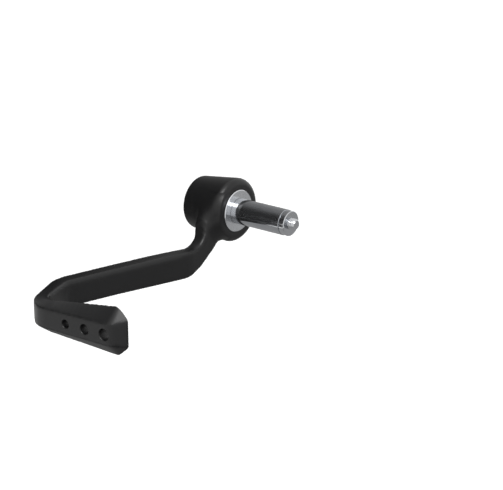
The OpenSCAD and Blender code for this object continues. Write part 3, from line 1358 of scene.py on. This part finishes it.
@dataclass(frozen=True)
class Board:
    """A board beside the object that only reflections see, so that bright metal gets dark bands.

    Attributes:
        name: The board's name.
        low: Its lowest corner in metres. Across its thin axis low and high are equal.
        high: Its highest corner.
        front: Its shade at its front edge, towards -Y.
        back: Its shade at its back edge.
        thick: Its thickness in metres.
    """

    name: str
    low: Triple
    high: Triple
    front: str
    back: str
    thick: float = 0.002

    def build(self) -> None:
        """Hangs the board."""
        mesh = bmesh.new()
        bmesh.ops.create_cube(mesh, size=1.0)
        size = Vector(self.high) - Vector(self.low)
        middle = (Vector(self.high) + Vector(self.low)) / 2
        slab = Matrix.Diagonal((*(max(c, self.thick) for c in size), 1))
        bmesh.ops.transform(mesh, matrix=Matrix.Translation(middle) @ slab, verts=mesh.verts)
        panel = to_object(mesh, self.name)
        material, tree, out = blank_material(self.name)
        place = add_node(tree, "ShaderNodeTexCoord").outputs["Object"]
        across = add_node(tree, "ShaderNodeSeparateXYZ", inputs={"Vector": place})
        share = add_node(
            tree,
            "ShaderNodeMapRange",
            inputs={
                "Value": across.outputs["Y"],
                "From Min": self.low[1],
                "From Max": self.high[1],
            },
        )
        shade = add_node(
            tree,
            "ShaderNodeMix",
            {"data_type": "RGBA"},
            {0: share.outputs["Result"], 6: linear(self.front), 7: linear(self.back)},
        )
        glow = add_node(
            tree, "ShaderNodeEmission", inputs={"Color": shade.outputs[2], "Strength": 1.0}
        )
        tree.links.new(glow.outputs["Emission"], out.inputs["Surface"])
        panel.data.materials.append(material)
        for way in ("camera", "diffuse", "transmission", "volume_scatter", "shadow"):
            setattr(panel, f"visible_{way}", False)


def seen_or_mirrored(tree: bpy.types.NodeTree) -> bpy.types.NodeSocket:
    """Adds the nodes that tell camera, glossy and transmission rays from the others.

    Args:
        tree: The node tree that takes the nodes.

    Returns:
        A socket that is 1 for those rays and 0 for the rest.
    """
    path = add_node(tree, "ShaderNodeLightPath")
    seen = add_node(
        tree,
        "ShaderNodeMath",
        {"operation": "MAXIMUM"},
        {0: path.outputs["Is Camera Ray"], 1: path.outputs["Is Glossy Ray"]},
    )
    shown = add_node(
        tree,
        "ShaderNodeMath",
        {"operation": "MAXIMUM"},
        {0: seen.outputs[0], 1: path.outputs["Is Transmission Ray"]},
    )
    return shown.outputs[0]


@dataclass
class Studio:
    """The pale floor, the white surroundings, the soft key light and the boards, in metres."""

    floor_z: float = -0.25
    floor_size: float = 30.0
    floor_colour: str = "#f2f2f2"
    floor_roughness: float = 0.5
    floor_lift: float = 0.18
    ambient: float = 0.4
    key_from: Triple = (0.36, -0.40, 0.80)
    key_strength: float = 2.2
    key_angle: float = 36.0
    boards: tuple[Board, ...] = (
        Board("end_wall_front", (-0.8, -1.3, -0.05), (-0.8, -0.6, 1.3), "#101010", "#404040"),
        Board("end_wall_back", (-0.8, -0.6, -0.25), (-0.8, 1.4, 1.3), "#404040", "#acacac"),
        Board("end_panel", (-0.79, -0.55, 0.15), (-0.79, 0.3, 0.72), "#e8e8e8", "#e8e8e8"),
        Board("barrel_board", (-0.08, -0.075, -0.05), (-0.08, 0.03, 0.08), "#404040", "#707070"),
        Board("stem_board", (-0.08, -0.10, -0.06), (-0.035, -0.10, 0.0), "#303030", "#303030"),
        Board("back_sheet", (-0.5, -0.3, -0.248), (1.3, 1.3, -0.248), "#a6a6a6", "#a6a6a6"),
        Board("front_sheet", (0.05, -0.35, -0.246), (0.35, -0.1, -0.246), "#909090", "#909090"),
    )

    def world(self) -> None:
        """Sets a white world for what is seen or mirrored, and a dimmer one for the light."""
        world = bpy.data.worlds.new("studio")
        bpy.context.scene.world = world
        world.use_nodes = True
        tree = world.node_tree
        tree.nodes.clear()
        strength = add_node(
            tree,
            "ShaderNodeMapRange",
            inputs={"Value": seen_or_mirrored(tree), "To Min": self.ambient, "To Max": 1.0},
        )
        light = add_node(
            tree,
            "ShaderNodeBackground",
            inputs={"Color": linear("#ffffff"), "Strength": strength.outputs["Result"]},
        )
        out = add_node(tree, "ShaderNodeOutputWorld")
        tree.links.new(light.outputs["Background"], out.inputs["Surface"])

    def floor(self) -> None:
        """Lays the floor, lifted to white where it is seen, which still takes the shadow."""
        mesh = bmesh.new()
        bmesh.ops.create_grid(mesh, x_segments=1, y_segments=1, size=self.floor_size / 2)
        bmesh.ops.translate(mesh, vec=(0, 0, self.floor_z), verts=mesh.verts)
        floor = to_object(mesh, "studio_floor")
        material, tree, out = blank_material("pale_floor")
        lift = add_node(
            tree,
            "ShaderNodeMath",
            {"operation": "MULTIPLY"},
            {0: seen_or_mirrored(tree), 1: self.floor_lift},
        )
        paint = add_node(
            tree,
            "ShaderNodeBsdfDiffuse",
            inputs={"Color": linear(self.floor_colour), "Roughness": self.floor_roughness},
        )
        glow = add_node(
            tree,
            "ShaderNodeEmission",
            inputs={"Color": linear("#ffffff"), "Strength": lift.outputs[0]},
        )
        both = add_node(
            tree,
            "ShaderNodeAddShader",
            inputs={0: paint.outputs["BSDF"], 1: glow.outputs["Emission"]},
        )
        tree.links.new(both.outputs["Shader"], out.inputs["Surface"])
        floor.data.materials.append(material)

    def key(self) -> None:
        """Sets the wide, soft key light, far away so that it lights the whole floor evenly."""
        data = bpy.data.lights.new("soft_key", "SUN")
        data.energy, data.angle = self.key_strength, math.radians(self.key_angle)
        lamp = bpy.data.objects.new("soft_key", data)
        way = -Vector(self.key_from)
        lamp.matrix_world = way.to_track_quat("-Z", "Y").to_matrix().to_4x4()
        bpy.context.scene.collection.objects.link(lamp)

    def build(self) -> None:
        """Sets up everything round the object."""
        self.world()
        self.floor()
        self.key()
        for board in self.boards:
            board.build()


@dataclass
class View:
    """The camera, at the photograph's place.

    Attributes:
        azimuth: Its direction from the origin in plan, in degrees from -Y.
        elevation: Its height above the horizon, in degrees.
        distance: Its distance from the point it is aimed at.
        aim_right: How far that point lies right of the origin, as the camera sees it.
        aim_down: How far the point lies below the origin.
        lens: The focal length.
        sensor: The sensor's width.
        clip: The nearest and the farthest distance that is drawn, in metres.
    """

    azimuth: float = 39.027
    elevation: float = 18.716
    distance: float = 860.2
    aim_right: float = 6.585
    aim_down: float = 17.796
    lens: float = 118.05
    sensor: float = 36.0
    clip: Pair = (0.01, 50.0)

    def build(self) -> None:
        """Makes the camera and hands it to the scene."""
        a, e = math.radians(self.azimuth), math.radians(self.elevation)
        right = Vector((math.cos(a), math.sin(a), 0))
        back = Vector((math.sin(a) * math.cos(e), -math.cos(a) * math.cos(e), math.sin(e)))
        up = back.cross(right)
        data = bpy.data.cameras.new("photo_view")
        data.lens, data.sensor_width, data.sensor_fit = self.lens, self.sensor, "HORIZONTAL"
        data.clip_start, data.clip_end = self.clip
        camera = bpy.data.objects.new("photo_view", data)
        place = self.aim_right * right - self.aim_down * up + self.distance * back
        turn = Matrix((right, up, back)).transposed().to_4x4()
        camera.matrix_world = Matrix.Translation(place * MM) @ turn
        bpy.context.scene.collection.objects.link(camera)
        bpy.context.scene.camera = camera


@dataclass
class Guard:
    """The whole guard: the moulding and the turned pieces of the stem."""

    moulding: GuardMoulding = field(default_factory=GuardMoulding)
    disc: SpacerDisc = field(default_factory=SpacerDisc)
    sleeve: ExpanderSleeve = field(default_factory=ExpanderSleeve)
    nut: TaperNut = field(default_factory=TaperNut)
    bolt: ClampBolt = field(default_factory=ClampBolt)

    def build(self, nodes: dict[str, bpy.types.Object]) -> None:
        """Builds every piece and dresses the CAD node that stays.

        Args:
            nodes: The CAD nodes, by name.
        """
        steps: list[tuple[Callable[[bpy.types.Material], bpy.types.Object], bpy.types.Material]] = [
            (self.moulding.build, MouldedNylon().make()),
            (self.disc.build, FACED_ALUMINIUM.make()),
            (self.sleeve.build, POLISHED_SLEEVE.make()),
            (self.nut.build, NUT_PAINTED_LIGHTER.make()),
            (self.bolt.build, ZINC_PLATE.make()),
        ]
        for build, material in steps:
            piece = build(material)
            LOG.info("%s: %d faces, %s", piece.name, len(piece.data.polygons), material.name)
        weight = nodes["bar_end_weight"]
        weight.data.materials.clear()
        weight.data.materials.append(TURNED_STEEL.make())
        LOG.info("bar_end_weight: the CAD mesh, %s", TURNED_STEEL.name)


def main() -> None:
    """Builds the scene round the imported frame."""
    logging.basicConfig(level=logging.INFO, format="%(name)s: %(message)s")
    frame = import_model()
    View().build()
    Guard().build(frame["nodes"])
    Studio().build()
    view = bpy.context.scene.view_settings
    view.view_transform = "Standard"


if __name__ == "__main__":
    main()
